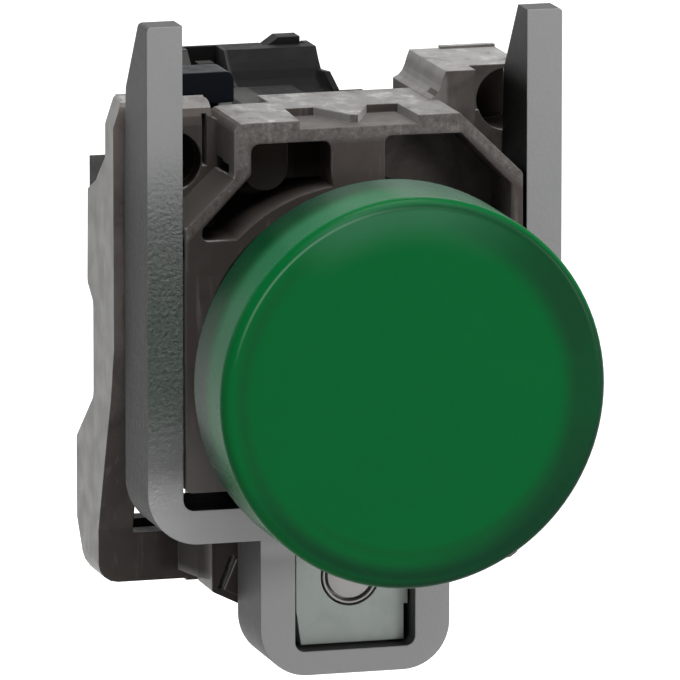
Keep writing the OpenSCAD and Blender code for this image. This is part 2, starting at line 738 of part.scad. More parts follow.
// Release latch: hook behind the upper rail, pivot in the middle, thumb tip through the roof at the back
module release_latch() {
    color("black") union() {
        along_x(latch_x0, latch_x1) polygon([[hook_y + 0.1, rail_top - lip_t],
            [hook_y + 0.7, rail_top - lip_t], [hook_y + 0.7, rail_top + 0.12],
            [20.6, rail_top + 0.12], [21.4, 12.6], [25.4, 12.6], [27.4, 13.85], [30.4, 15.1], [31.6, 15.2],
            [31.6, 16.2], [29.7, 16.2], [28.9, 15.7], [27.6, 14.6], [26.3, 14.05], [25, 13.9],
            [22.6, 13.9], [21.7, 14.65], [hook_y + 0.1, 14.65]]);
        along_y(29.9, 31.5) polygon([[latch_x1, 15.2], [latch_x1, 17.25], [2.7, 17.25], [1.75, 16.6],
            [1.75, 15.6], [latch_x0, 15.2]]);
        translate([latch_x0 - 1.05, latch_pivot.x, latch_pivot.y]) rotate([0, 90, 0])
            cylinder(r = 0.7, h = latch_x1 - latch_x0 + 1.1);
    }
}

// Leaf spring under the latch's tail, held at its rear end
module latch_spring() {
    color("silver") along_x(latch_x0 + 0.3, latch_x1 - 0.3)
        polygon([[27.4, 13.1], [33, 13.87], [33, 14.05], [27.4, 13.28]]);
}

// Cover that closes the housing's back, with holes for a screwdriver
module module_cover() {
    color("dimgray") difference() {
        union() {
            along_y(housing_back + 0.1, module_back)
                rounded([-module_x, module_bottom + 0.1], [module_x, 13.2], 0.8, 0.8);
            block([-2.9, housing_back - 1.4, -2.4], [2.9, housing_back + 0.2, -1.5]);
            block([-2.9, housing_back - 1.4, 3.9], [2.9, housing_back + 0.2, 4.8]);
            snap_tabs();
        }
        for (z = terminal_z) {
            rod_y(0, z, 2.4, housing_back - over, module_back + over);
            rod_y(0, z, 3, module_back - 0.35, module_back + over);
        }
        for (side = [-1, 1])
            block([side * 4.4 - 0.9, module_back - 0.3, -12], [side * 4.4 + 0.9, module_back + over, -11.2]);
        for (i = [0:3])
            block([-3, module_back - 0.4, -0.9 + i * 1.1], [3, module_back + over, -0.4 + i * 1.1]);
    }
}

// Tabs of the cover that snap into the housing's side windows
module snap_tabs() {
    inner_x = module_x - module_wall - 0.06;
    for (side = [-1, 1])
        translate([0, 0, snap_z]) linear_extrude(3) polygon([[side * inner_x, housing_back + 0.2],
            [side * inner_x, housing_back - 1.05], [side * (inner_x + 0.5), housing_back - 1.25],
            [side * inner_x, housing_back - 2.1], [side * (inner_x - 0.7), housing_back - 2.1],
            [side * (inner_x - 0.7), housing_back + 0.2]]);
}

// Clear light guide in the nose
module light_guide() {
    color("white") union() {
        rod_y(0, 0, nose_r - 1, nose_front + 0.1, 10);
        rod_y(0, 0, nose_r - 0.2, nose_front - 0.3, nose_front + 0.95);
    }
}

// Light-emitting diode on the board
module led() {
    color("white") union() {
        rod_y(0, 0, 2.5, 12.6, board_y - 0.02);
        translate([0, 12.7, 0]) sphere(2.4);
    }
}

// Circuit board across the module
module circuit_board() {
    color("darkgreen") difference() {
        block([-3.8, board_y, -11], [3.8, board_y + board_t, 10.8]);
        for (x = [-1.27, 1.27])
            rod_y(x, 0, 0.4, board_y - over, board_y + board_t + over);
    }
}

// Dropping resistor on the board's back
module resistor() {
    color("tan") translate([-2.65, board_y + board_t + 1.05, 5.6]) union() {
        cylinder(r = 0.95, h = 5.2, center = true);
        for (z = [-2.1, 2.1])
            translate([0, 0, z]) cylinder(r = 1.03, h = 1, center = true);
    }
}

// Bridge rectifier on the board's back
module rectifier() {
    color("black") block([-1.5, board_y + board_t + 0.02, 0], [2.5, board_y + board_t + 2, 4.2]);
}

// Contact bar of one terminal: upright plate at the wires and a foot to the board
module contact_bar(z, up) {
    foot_z = z - up * bar_foot_drop;
    color("goldenrod") difference() {
        union() {
            block([-3.7, bar_y, z - 2.5], [3.7, bar_y + bar_t, z + 2.5]);
            block([-1.4, board_y + board_t + 0.02, foot_z - 0.45], [1.4, bar_y + bar_t, foot_z + 0.45]);
        }
        rod_y(0, z, terminal_r + 0.15, bar_y - 1, bar_y + bar_t + over);
    }
}

module contact_bar_top() {
    contact_bar(terminal_z[0], 1);
}

module contact_bar_bottom() {
    contact_bar(terminal_z[1], -1);
}

// Clamp of one terminal: a plate with turned edges, driven by its screw
module terminal_clamp(z) {
    color("silver") difference() {
        union() {
            block([-3.7, clamp_y, z - 2.5], [3.7, clamp_y + clamp_t, z + 2.5]);
            for (side = [-1, 1])
                block([side * 3.3 - 0.4, clamp_y, z - 2.5], [side * 3.3 + 0.4, clamp_y + 2, z + 2.5]);
            rod_y(0, z, 2.3, clamp_y, screw_head_y - 0.05);
        }
        rod_y(0, z, terminal_r + 0.05, clamp_y - over, clamp_y + 3);
    }
}

module terminal_clamp_top() {
    terminal_clamp(terminal_z[0]);
}

module terminal_clamp_bottom() {
    terminal_clamp(terminal_z[1]);
}

// Terminal screw, its head facing the back
module terminal_screw(z) {
    color("lightgray") difference() {
        union() {
            rod_y(0, z, terminal_r, 24.4, screw_head_y + 0.1);
            rod_y(0, z, terminal_head_r, screw_head_y, screw_head_y + screw_head_t);
        }
        drive_recess(z, terminal_head_r, screw_head_y + screw_head_t);
    }
}

module terminal_screw_top() {
    terminal_screw(terminal_z[0]);
}

module terminal_screw_bottom() {
    terminal_screw(terminal_z[1]);
}

lens_cap();
diffuser();
lens_gasket();
head_body();
panel_seal();
collar_body();
locking_ring();
lever_grip();
ring_retainer();
retainer_screws();
clamp_fork();
pressure_plate();
clamp_screw();
module_housing();
module_cover();
light_guide();
led();
circuit_board();
resistor();
rectifier();
contact_bar_top();
contact_bar_bottom();
terminal_clamp_top();
terminal_clamp_bottom();
terminal_screw_top();
terminal_screw_bottom();
release_latch();
latch_spring();
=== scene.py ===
"""Looks of the panel pilot light: camera, light, materials, and two pieces finer than their solids."""
import math
import bpy
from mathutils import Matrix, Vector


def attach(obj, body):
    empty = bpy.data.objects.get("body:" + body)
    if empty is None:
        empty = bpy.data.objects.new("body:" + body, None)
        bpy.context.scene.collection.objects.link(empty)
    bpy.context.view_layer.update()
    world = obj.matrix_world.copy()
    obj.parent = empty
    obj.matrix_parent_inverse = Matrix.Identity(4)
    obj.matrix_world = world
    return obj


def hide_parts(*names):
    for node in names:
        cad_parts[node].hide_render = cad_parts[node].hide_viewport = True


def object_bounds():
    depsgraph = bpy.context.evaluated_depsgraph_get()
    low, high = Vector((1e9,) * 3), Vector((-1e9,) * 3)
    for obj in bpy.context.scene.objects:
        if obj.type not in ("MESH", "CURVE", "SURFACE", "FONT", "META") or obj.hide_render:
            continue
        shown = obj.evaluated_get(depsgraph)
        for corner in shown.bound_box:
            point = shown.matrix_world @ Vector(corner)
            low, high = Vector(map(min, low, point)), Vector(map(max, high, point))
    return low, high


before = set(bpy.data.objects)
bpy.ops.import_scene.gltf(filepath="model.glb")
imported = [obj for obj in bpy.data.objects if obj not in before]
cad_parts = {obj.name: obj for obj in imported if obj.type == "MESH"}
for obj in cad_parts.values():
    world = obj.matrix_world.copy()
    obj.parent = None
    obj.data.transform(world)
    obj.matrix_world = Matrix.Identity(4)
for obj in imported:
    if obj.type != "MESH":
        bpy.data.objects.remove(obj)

cad_low, cad_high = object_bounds()
MM = 0.001
WHITE = (1, 1, 1, 1)


# Camera and light, in metres, degrees and watts; lens and sensor in millimetres

CAMERA_PLACE = (-0.22349, -0.78864, 0.16498)
CAMERA_AZIMUTH = 15.747
CAMERA_ELEVATION = 11.317
CAMERA_LENS = 634.1
SENSOR_WIDTH = 36
CLIP_NEAR = 0.01
CLIP_FAR = 20
FLOOR_DROP = 0.030
FLOOR_SIZE = 6
FLOOR_GREY = (0.55, 0.55, 0.55, 1)
AMBIENT = 0.16
# Name, place, size and power of each lamp
LAMPS = (
    ("key_top", (0.05, -0.20, 0.55), (0.35, 0.35), 4.6),
    ("fill_right", (0.42, -0.50, -0.02), (0.25, 0.35), 3.3),
    ("side_left", (-0.60, -0.05, 0.15), (0.3, 0.5), 0.6),
)


def make_camera():
    data = bpy.data.cameras.new("camera")
    data.sensor_width = SENSOR_WIDTH
    data.lens = CAMERA_LENS
    data.clip_start = CLIP_NEAR
    data.clip_end = CLIP_FAR
    camera = bpy.data.objects.new("camera", data)
    camera.location = CAMERA_PLACE
    camera.rotation_euler = (math.radians(90 - CAMERA_ELEVATION), 0, math.radians(-CAMERA_AZIMUTH))
    bpy.context.collection.objects.link(camera)
    bpy.context.scene.camera = camera


def area_light(name, place, size, watts):
    """A rectangular lamp that looks at the origin."""
    data = bpy.data.lights.new(name, "AREA")
    data.shape = "RECTANGLE"
    data.size, data.size_y = size
    data.energy = watts
    lamp = bpy.data.objects.new(name, data)
    lamp.location = place
    lamp.rotation_euler = (-lamp.location).to_track_quat("-Z", "Y").to_euler()
    bpy.context.collection.objects.link(lamp)


def background_rays(tree):
    """1 where a ray comes from the camera, a reflection or glass, so that it sees the backdrop's white."""
    path = tree.nodes.new("ShaderNodeLightPath")
    total = path.outputs["Is Camera Ray"]
    for name in ("Is Glossy Ray", "Is Transmission Ray"):
        add = tree.nodes.new("ShaderNodeMath")
        add.operation = "MAXIMUM"
        tree.links.new(total, add.inputs[0])
        tree.links.new(path.outputs[name], add.inputs[1])
        total = add.outputs[0]
    return total


def make_world():
    """White where it is seen, and only AMBIENT where it lights the object."""
    world = bpy.data.worlds.new("studio")
    bpy.context.scene.world = world
    world.use_nodes = True
    tree = world.node_tree
    background = tree.nodes["Background"]
    background.inputs["Color"].default_value = WHITE
    strength = tree.nodes.new("ShaderNodeMapRange")
    strength.inputs["To Min"].default_value = AMBIENT
    strength.inputs["To Max"].default_value = 1.0
    tree.links.new(background_rays(tree), strength.inputs["Value"])
    tree.links.new(strength.outputs["Result"], background.inputs["Strength"])


def make_floor():
    """A floor below the object: white where it is seen, and plain grey where it lights the object."""
    bpy.ops.mesh.primitive_plane_add(size=FLOOR_SIZE, location=(0, 0, cad_low.z - FLOOR_DROP))
    floor = bpy.context.object
    floor.name = "floor"
    material = bpy.data.materials.new("floor")
    material.use_nodes = True
    tree = material.node_tree
    shader = tree.nodes["Principled BSDF"]
    shader.inputs["Base Color"].default_value = FLOOR_GREY
    shader.inputs["Roughness"].default_value = 0.9
    shader.inputs["Specular IOR Level"].default_value = 0.0
    shader.inputs["Emission Color"].default_value = WHITE
    tree.links.new(background_rays(tree), shader.inputs["Emission Strength"])
    floor.data.materials.append(material)


# Materials

OPEN = (None, None)


class Paint:
    """A material's node tree with a Principled shader, built up step by step. Lengths are in millimetres."""

    def __init__(self, name, colour, rough, metal=0.0, **values):
        self.material = bpy.data.materials.new(name)
        self.material.use_nodes = True
        self.tree = self.material.node_tree
        self.shader = self.tree.nodes["Principled BSDF"]
        self.rough = rough
        self.set("Base Color", (*colour, 1))
        self.set("Roughness", rough)
        self.set("Metallic", metal)
        for key, value in values.items():
            self.set(key.replace("_", " "), value)
        self.normal = None
        coordinates = self.add("ShaderNodeTexCoord")
        self.own_normal = coordinates.outputs["Normal"]
        scale = self.add("ShaderNodeMapping")
        scale.inputs["Scale"].default_value = (1 / MM,) * 3
        self.link(coordinates.outputs["Object"], scale.inputs["Vector"])
        self.place = scale.outputs["Vector"]

    def set(self, key, value):
        self.shader.inputs[key].default_value = value

    def add(self, kind, **settings):
        node = self.tree.nodes.new(kind)
        for key, value in settings.items():
            setattr(node, key, value)
        return node

    def link(self, out, into):
        self.tree.links.new(out, into)

    def math(self, operation, a, b=None):
        node = self.add("ShaderNodeMath", operation=operation)
        for socket, value in zip(node.inputs, (a, b)):
            if value is None:
                continue
            if isinstance(value, (int, float)):
                socket.default_value = value
            else:
                self.link(value, socket)
        return node.outputs[0]

    def remap(self, value, low, high, to_low, to_high):
        """Goes smoothly from to_low, where value is low, to to_high, where it is high."""
        node = self.add("ShaderNodeMapRange", interpolation_type="SMOOTHSTEP")
        self.link(value, node.inputs["Value"])
        for name, number in zip(("From Min", "From Max", "To Min", "To Max"), (low, high, to_low, to_high)):
            node.inputs[name].default_value = number
        return node.outputs["Result"]

    def noise(self, size, detail=4, stretch=(1, 1, 1), rough=0.5, warp=0.0):
        """A noise whose blotches are about size mm wide, stretched along the axes."""
        mapping = self.add("ShaderNodeMapping")
        mapping.inputs["Scale"].default_value = tuple(1 / (size * s) for s in stretch)
        self.link(self.place, mapping.inputs["Vector"])
        node = self.add("ShaderNodeTexNoise")
        node.inputs["Scale"].default_value = 1
        node.inputs["Detail"].default_value = detail
        node.inputs["Roughness"].default_value = rough
        node.inputs["Distortion"].default_value = warp
        self.link(mapping.outputs["Vector"], node.inputs["Vector"])
        return node.outputs["Fac"]

    def part(self, vector, name):
        node = self.add("ShaderNodeSeparateXYZ")
        self.link(vector, node.inputs[0])
        return node.outputs[name]

    def axis(self, name):
        """The object's X, Y or Z in millimetres."""
        return self.part(self.place, name)

    def facing_value(self, name):
        """The part of the surface's own normal along an axis of the object."""
        return self.part(self.own_normal, name)

    def facing(self, name, sign=1, low=0.45, high=0.9):
        """1 on faces that look along an axis of the object, 0 on the others."""
        return self.remap(self.math("MULTIPLY", self.facing_value(name), sign), low, high, 0.0, 1.0)

    def radius(self, x0=0.0, z0=0.0):
        """Distance in millimetres from a line along Y through x0, z0; the lens axis unless told otherwise."""
        x = self.math("SUBTRACT", self.axis("X"), x0)
        z = self.math("SUBTRACT", self.axis("Z"), z0)
        return self.math("SQRT", self.math("ADD", self.math("MULTIPLY", x, x), self.math("MULTIPLY", z, z)))

    def toward(self, angle, low, high):
        """1 where the direction from the lens axis is near angle (0 to the right, 90 up), 0 far from it.

        low and high are cosines of the angle between the two directions.
        """
        x = self.math("MULTIPLY", self.axis("X"), math.cos(math.radians(angle)))
        z = self.math("MULTIPLY", self.axis("Z"), math.sin(math.radians(angle)))
        return self.remap(self.math("DIVIDE", self.math("ADD", x, z), self.radius()), low, high, 0.0, 1.0)

    def product(self, *factors):
        total = factors[0]
        for factor in factors[1:]:
            total = self.math("MULTIPLY", total, factor)
        return total

    def most(self, *factors):
        total = factors[0]
        for factor in factors[1:]:
            total = self.math("MAXIMUM", total, factor)
        return total

    def above(self, name, level, soft=0.3):
        """0 below a level of the object's X, Y or Z (or of a value), 1 above it, over soft mm."""
        value = self.axis(name) if isinstance(name, str) else name
        return self.remap(value, level - soft / 2, level + soft / 2, 0.0, 1.0)

    def below(self, name, level, soft=0.3):
        """1 below a level of the object's X, Y or Z (or of a value), 0 above it, over soft mm."""
        value = self.axis(name) if isinstance(name, str) else name
        return self.remap(value, level - soft / 2, level + soft / 2, 1.0, 0.0)

    def zone(self, x=OPEN, y=OPEN, z=OPEN):
        """1 inside ranges of X, Y and Z; an end is a level, (level, soft width), or None where open."""
        sides = []
        for name, ends in (("X", x), ("Y", y), ("Z", z)):
            for end, mask in zip(ends, (self.above, self.below)):
                if isinstance(end, tuple):
                    sides.append(mask(name, *end))
                elif end is not None:
                    sides.append(mask(name, end))
        return self.product(*sides)

    def slope(self, x_part):
        """Z plus x_part times X, which is level along a slanted line."""
        return self.math("ADD", self.axis("Z"), self.math("MULTIPLY", self.axis("X"), x_part))

    def near(self, value, centre, width):
        """1 where value is centre, falling to 0 at width away from it."""
        away = self.math("ABSOLUTE", self.math("SUBTRACT", value, centre))
        return self.remap(away, 0.0, width, 1.0, 0.0)

    def blend(self, colour, *masks):
        """Mixes colour over the base colour so far, by the product of masks and amounts, a mask first."""
        mix = self.add("ShaderNodeMix", data_type="RGBA")
        # Sockets by number, since a Mix node has several of each name
        factor, before, after = mix.inputs[0], mix.inputs[6], mix.inputs[7]
        base = self.shader.inputs["Base Color"]
        if base.is_linked:
            self.link(base.links[0].from_socket, before)
        else:
            before.default_value = base.default_value
        after.default_value = (*colour, 1)
        self.link(self.product(*masks), factor)
        self.link(mix.outputs[2], base)

    def gloss(self, mask, outside, inside):
        """Specular level where mask is 0 and where it is 1."""
        self.link(self.remap(mask, 0.0, 1.0, outside, inside), self.shader.inputs["Specular IOR Level"])

    def vary_rough(self, value, spread):
        """Roughness goes up and down by spread with a noise."""
        socket = self.remap(value, 0.3, 0.7, max(self.rough - spread, 0.02), self.rough + spread)
        self.link(socket, self.shader.inputs["Roughness"])

    def soft_edges(self, radius, wear_and_glint=None, wear_and_glint_amount=0.5):
        """Rounds edges in the shading over radius mm, and lightens them with the given colour, which stands
        for worn edges and painted glints.
        """
        bevel = self.add("ShaderNodeBevel", samples=6)
        bevel.inputs["Radius"].default_value = radius * MM
        self.normal = bevel.outputs["Normal"]
        self.link(self.normal, self.shader.inputs["Normal"])
        if wear_and_glint:
            geometry = self.add("ShaderNodeNewGeometry")
            dot = self.add("ShaderNodeVectorMath", operation="DOT_PRODUCT")
            self.link(self.normal, dot.inputs[0])
            self.link(geometry.outputs["Normal"], dot.inputs[1])
            edge = self.remap(dot.outputs["Value"], 0.70, 0.99, wear_and_glint_amount, 0.0)
            patchy = self.remap(self.noise(1.2), 0.35, 0.6, 0.35, 1.0)
            self.blend(wear_and_glint, edge, patchy)

    def bump(self, height, depth, strength=1.0):
        """Adds relief: height is a 0 to 1 socket and depth its size in mm."""
        node = self.add("ShaderNodeBump")
        node.inputs["Distance"].default_value = depth * MM
        node.inputs["Strength"].default_value = strength
        self.link(height, node.inputs["Height"])
        if self.normal:
            self.link(self.normal, node.inputs["Normal"])
        self.normal = node.outputs["Normal"]
        self.link(self.normal, self.shader.inputs["Normal"])


# Lens

# Lens colours: green, wall, wall_left, low_rim and cloud are the plastic's own look; the others are painted
# sheen, highlight and shade
LENS = {
    "green": (0.0006, 0.093, 0.0205),
    "wall": (0.0050, 0.043, 0.016),
    "wall_left": (0.0045, 0.062, 0.019),
    "low_rim": (0.0035, 0.030, 0.013),
    "lower_right_edge_shade": (0.006, 0.032, 0.016),
    "upper_sheen": (0.026, 0.120, 0.056),
    "edge_highlight": (0.085, 0.190, 0.120),
    "side_back_shade": (0.006, 0.040, 0.018),
    "top_back_sheen": (0.030, 0.062, 0.044),
    "side_front_sheen": (0.028, 0.150, 0.070),
    "shaded_back": (0.002, 0.022, 0.009),
    "left_back_sheen": (0.028, 0.048, 0.038),
    "side_sheen": (0.105, 0.165, 0.130),
    "upper_edge_shade": (0.0008, 0.050, 0.013),
    "cloud": (0.0016, 0.108, 0.028),
}
FACE_GLOSS = 0.045
SIDE_GLOSS = 0.024


def lens_green():
    """Translucent green: the cap's wall shows through the face as a dark ring, widest on the right; the
    sheens, highlights and shade on the edge and side wall are painted.
    """
    paint = Paint("lens_green", LENS["green"], 0.27, IOR=1.49, Specular_IOR_Level=FACE_GLOSS)
    ring = paint.radius()
    face = paint.facing("Y", -1, 0.75, 0.97)
    side = paint.remap(paint.math("ABSOLUTE", paint.facing_value("Y")), 0.15, 0.6, 1.0, 0.0)
    wall = paint.remap(paint.radius(-0.55, -0.1), 10.7, 12.4, 0.0, 1.0)
    # Wall behind the face, round its right, left and lower edges, and painted shade on the lower right of the
    # rounded edge
    paint.blend(LENS["wall"], wall, face, paint.toward(-14, -0.10, 0.80), 0.92)
    paint.blend(LENS["wall_left"], paint.near(ring, 12.25, 0.75), face, paint.toward(205, -0.2, 0.7), 0.62)
    paint.blend(LENS["wall_left"], paint.near(ring, 11.2, 0.6), face, paint.toward(-82, 0.45, 0.9), 0.5)
    paint.blend(LENS["low_rim"], paint.near(ring, 12.8, 0.9), face, paint.toward(-88, 0.2, 0.9), 0.85)
    paint.blend(LENS["lower_right_edge_shade"], paint.above(ring, 13.25), paint.toward(-45, 0.1, 0.8), 0.9)
    # Painted sheen under the face's upper edge, and a painted highlight along the edge itself
    rising = paint.remap(ring, 9.8, 13.1, 0.0, 1.0)
    paint.blend(LENS["upper_sheen"], rising, face, paint.toward(92, 0.74, 0.98))
    paint.blend(LENS["edge_highlight"], paint.near(ring, 13.08, 0.14), paint.toward(117, 0.58, 0.92), 0.9)
    # Side wall, painted light: painted shade deepens the green towards the back, with a pale painted sheen at
    # the front upper left and painted shade behind it, a grey painted sheen above and at the left back, and a
    # painted highlight near the top
    back = paint.remap(paint.axis("Y"), -13.2, -7.6, 0.0, 0.85)
    paint.blend(LENS["side_back_shade"], side, back)
    paint.blend(LENS["top_back_sheen"], side, back, paint.toward(92, 0.80, 0.99))
    paint.blend(LENS["side_front_sheen"], side, paint.below("Y", -11.2, 2.6), paint.toward(145, 0.42, 0.85), 0.8)
    paint.blend(LENS["shaded_back"], side, paint.above("Y", -11.2, 2.4), paint.toward(134, 0.86, 0.99), 0.6)
    paint.blend(LENS["left_back_sheen"], side, paint.above("Y", -10.9, 2.4), paint.toward(184, 0.80, 0.99), 0.8)
    paint.blend(LENS["side_sheen"], side, paint.toward(76, 0.93, 0.995), 0.75)
    # Painted shade on the upper right edge, and the wall behind the face there
    paint.blend(LENS["upper_edge_shade"], paint.near(ring, 13.15, 0.4), paint.toward(62, 0.60, 0.92), 0.8)
    paint.blend(LENS["wall"], wall, face, paint.toward(46, 0.78, 0.97), 0.45)
    paint.gloss(side, FACE_GLOSS, SIDE_GLOSS)
    paint.blend(LENS["cloud"], paint.remap(paint.noise(6, detail=3), 0.45, 0.75, 0.0, 0.10))
    paint.vary_rough(paint.noise(2.5), 0.02)
    paint.soft_edges(0.12)
    return paint.material


# Collar

# Painted light among the collar colours: side, top, front and frame front stand for light and reflection, the
# right pocket is painted lighter, and the colours of the bays, pockets, boss, lip, holes, slot and of the
# shaded faces beside the block and under the fork are painted shade
CAST = {
    "side": (0.325, 0.32, 0.312),
    "top": (0.205, 0.200, 0.195),
    "post_top": (0.27, 0.265, 0.26),
    "front": (0.048, 0.040, 0.037),
    "lit_frame_front": (0.160, 0.140, 0.128),
    "rim": (0.115, 0.106, 0.100),
    "low_front": (0.045, 0.038, 0.034),
    "stain": (0.040, 0.032, 0.029),
    "bright_patch": (0.52, 0.51, 0.50),
    "dull_patch": (0.10, 0.092, 0.086),
    "streak": (0.40, 0.39, 0.38),
    "dirt": (0.045, 0.038, 0.034),
    "dark_speck": (0.030, 0.024, 0.021),
    "pale_speck": (0.24, 0.23, 0.22),
    "bays": (0.088, 0.078, 0.071),
    "post_front": (0.105, 0.093, 0.083),
    "post_flank": (0.150, 0.142, 0.136),
    "low_corner": (0.130, 0.120, 0.112),
    "pockets": (0.012, 0.009, 0.007),
    "boss": (0.042, 0.038, 0.035),
    "lit_right_pocket": (0.155, 0.140, 0.130),
    "lip": (0.050, 0.043, 0.039),
    "block_flank_shade": (0.105, 0.095, 0.087),
    "slant_shade": (0.062, 0.054, 0.049),
    "ear_shade": (0.066, 0.057, 0.052),
    "holes": (0.008, 0.006, 0.005),
    "slot": (0.010, 0.008, 0.007),
    "under_fork_shade": (0.034, 0.029, 0.026),
    "worn_and_glinting_edge": (0.16, 0.15, 0.14),
}
CAST_GLOSS = 0.15
POCKET_GLOSS = 0.03
# How much of X slope() takes in along the block's two chamfers
RIGHT_CHAMFER = 1.027
LEFT_CHAMFER = -1.043
# Centre (X, Z) and radius of the zones round the boss in the left pocket and round the two blind holes
BOSS_CENTRE, BOSS_R = (-5.8, 13.0), 2.3
EAR_HOLE_CENTRE, EAR_HOLE_R = (-11.8, 13.25), 2.2
POST_HOLE_CENTRE, POST_HOLE_R = (13.1, 16.15), 2.3
# Ranges of X, Y and Z; an end is None where it is open, and (level, soft width) where it isn't crisp
COLLAR_ZONES = {
    "post_top": {"z": (18.3, None)},
    "lit_frame_front": {"x": (None, -12.7), "z": ((-6, 10), None)},
    "low_front": {"z": (None, (-12.5, 6))},
    "block_front": {"y": (None, 2)},
    "bays": {"x": (-4.4, 5), "y": (None, 6), "z": (15.7, 16.35)},
    "post_front": {"x": (6.5, None), "y": (5, None), "z": ((11, 4), None)},
    "post_flank": {"x": (6.5, 8.25), "y": (5, None), "z": (14.4, (18.3, 0.8))},
    "low_corner": {"x": (None, (-9, 5)), "y": (None, 2), "z": (None, (-4.5, 8))},
    "pockets": {"x": (None, 11.75), "y": ((0.55, 0.6), 6.9), "z": (7.2, 15.6)},
    "boss": {"z": (None, (12.6, 2.8))},
    "lit_right_pocket": {"x": (2, None)},
    "lip": {"y": (None, 4.0), "z": (6, None)},
    "block_flank_shade": {"x": (-12.6, -8), "y": (0.5, 7.2), "z": ((8, 9), None)},
    "slant_shade": {"y": (None, 7.5), "z": (5, None)},
    "ear_shade": {"x": (-12.9, -8.7), "y": (3, None), "z": (7, None)},
    "ear_hole": {"y": (5.5, 12)},
    "post_hole": {"y": (7.45, 12.5)},
    "slot": {"x": ((-8.5, 0.1), (-7.7, 0.1)), "y": ((1.9, 0.2), (5.2, 0.2)),
        "z": ((12.65, 0.1), (13.65, 0.1))},
    "under_fork_shade": {"x": ((-11.3, 1.6), (-8.4, 1.0)), "y": (6.8, (11.6, 0.6)), "z": ((-17.2, 1.2), -12)},
}


def collar_zone(paint, name):
    return paint.zone(**COLLAR_ZONES[name])


def cast_skin(paint, top, front, rims):
    """Tones by the way a face looks, painted light and reflection: pale sides, darker tops and a dark brown
    front, with the frame's front beside the fork painted lighter; the post's top is lighter, and the rims of
    the front block are lighter than its middle.
    """
    paint.blend(CAST["top"], top)
    paint.blend(CAST["post_top"], top, collar_zone(paint, "post_top"))
    paint.blend(CAST["front"], front)
    paint.blend(CAST["lit_frame_front"], paint.facing("Y", -1, 0.2, 0.6), collar_zone(paint, "lit_frame_front"))
    paint.blend(CAST["rim"], front, rims, collar_zone(paint, "block_front"), 0.8)
    paint.blend(CAST["low_front"], front, collar_zone(paint, "low_front"), 0.7)


def cast_wear(paint, clouds, top, front, rims):
    """Stains, bright patches on top, streaks down the sides and specks on the block's rims."""
    stronger_in_front = paint.remap(front, 0.0, 1.0, 0.16, 1.0)
    paint.blend(CAST["stain"], paint.remap(clouds, 0.40, 0.70, 0.0, 0.55), stronger_in_front)
    patches = paint.noise(1.3, detail=6, rough=0.65, stretch=(1, 1.8, 1))
    paint.blend(CAST["bright_patch"], top, paint.remap(patches, 0.48, 0.80, 0.0, 0.75))
    paint.blend(CAST["dull_patch"], top, paint.remap(patches, 0.46, 0.30, 0.0, 0.7))
    streaks = paint.noise(0.5, detail=3, stretch=(1, 1, 9))
    paint.blend(CAST["streak"], paint.remap(streaks, 0.55, 0.80, 0.0, 0.14))
    dirt = paint.noise(0.6, detail=4, stretch=(1, 1, 6), rough=0.65)
    paint.blend(CAST["dirt"], paint.remap(dirt, 0.58, 0.80, 0.0, 0.5))
    specks = paint.noise(0.34, detail=5, rough=0.75)
    rim_front = paint.product(front, rims, collar_zone(paint, "block_front"))
    paint.blend(CAST["dark_speck"], paint.remap(specks, 0.50, 0.68, 0.0, 0.62), rim_front)
    paint.blend(CAST["pale_speck"], paint.remap(specks, 0.48, 0.32, 0.0, 0.35), rim_front)


def cast_places(paint, clouds, top, front):
    """Recess floors on top, darkened with painted shade, the post, and the block's lower corner."""
    # Painted shade on the recess floors on top
    paint.blend(CAST["bays"], top, collar_zone(paint, "bays"), 0.88)
    paint.blend(CAST["post_front"], front, collar_zone(paint, "post_front"),
        paint.remap(clouds, 0.35, 0.65, 0.85, 0.25))
    paint.blend(CAST["post_flank"], collar_zone(paint, "post_flank"), 0.65)
    paint.blend(CAST["low_corner"], front, collar_zone(paint, "low_corner"), 0.85)


def cast_pockets(paint, clouds, front):
    """Paints shade into the pockets in the block's front and onto the lip below them, less of it on the boss,
    paints the right pocket lighter as if lit, and gives back both masks.
    """
    left_bound = paint.most(paint.above("X", -8.05), paint.below(paint.slope(LEFT_CHAMFER), 21.35))
    inside = paint.product(left_bound, paint.below(paint.slope(RIGHT_CHAMFER), 23.75),
        collar_zone(paint, "pockets"))
    # Painted shade in the pockets, less of it on the boss
    paint.blend(CAST["pockets"], inside, 0.97)
    boss = paint.below(paint.radius(*BOSS_CENTRE), BOSS_R)
    paint.blend(CAST["boss"], inside, boss, collar_zone(paint, "boss"), front)
    # The right pocket painted lighter, as if lit
    paint.blend(CAST["lit_right_pocket"], inside, collar_zone(paint, "lit_right_pocket"),
        paint.remap(clouds, 0.32, 0.68, 0.50, 1.0), paint.remap(paint.axis("X"), 2.5, 9, 0.45, 1.0))
    # Painted shade on the lip below the pockets
    lip = paint.product(paint.near(paint.radius(), 12.1, 1.5), collar_zone(paint, "lip"))
    paint.blend(CAST["lip"], lip, 0.95)
    return inside, lip


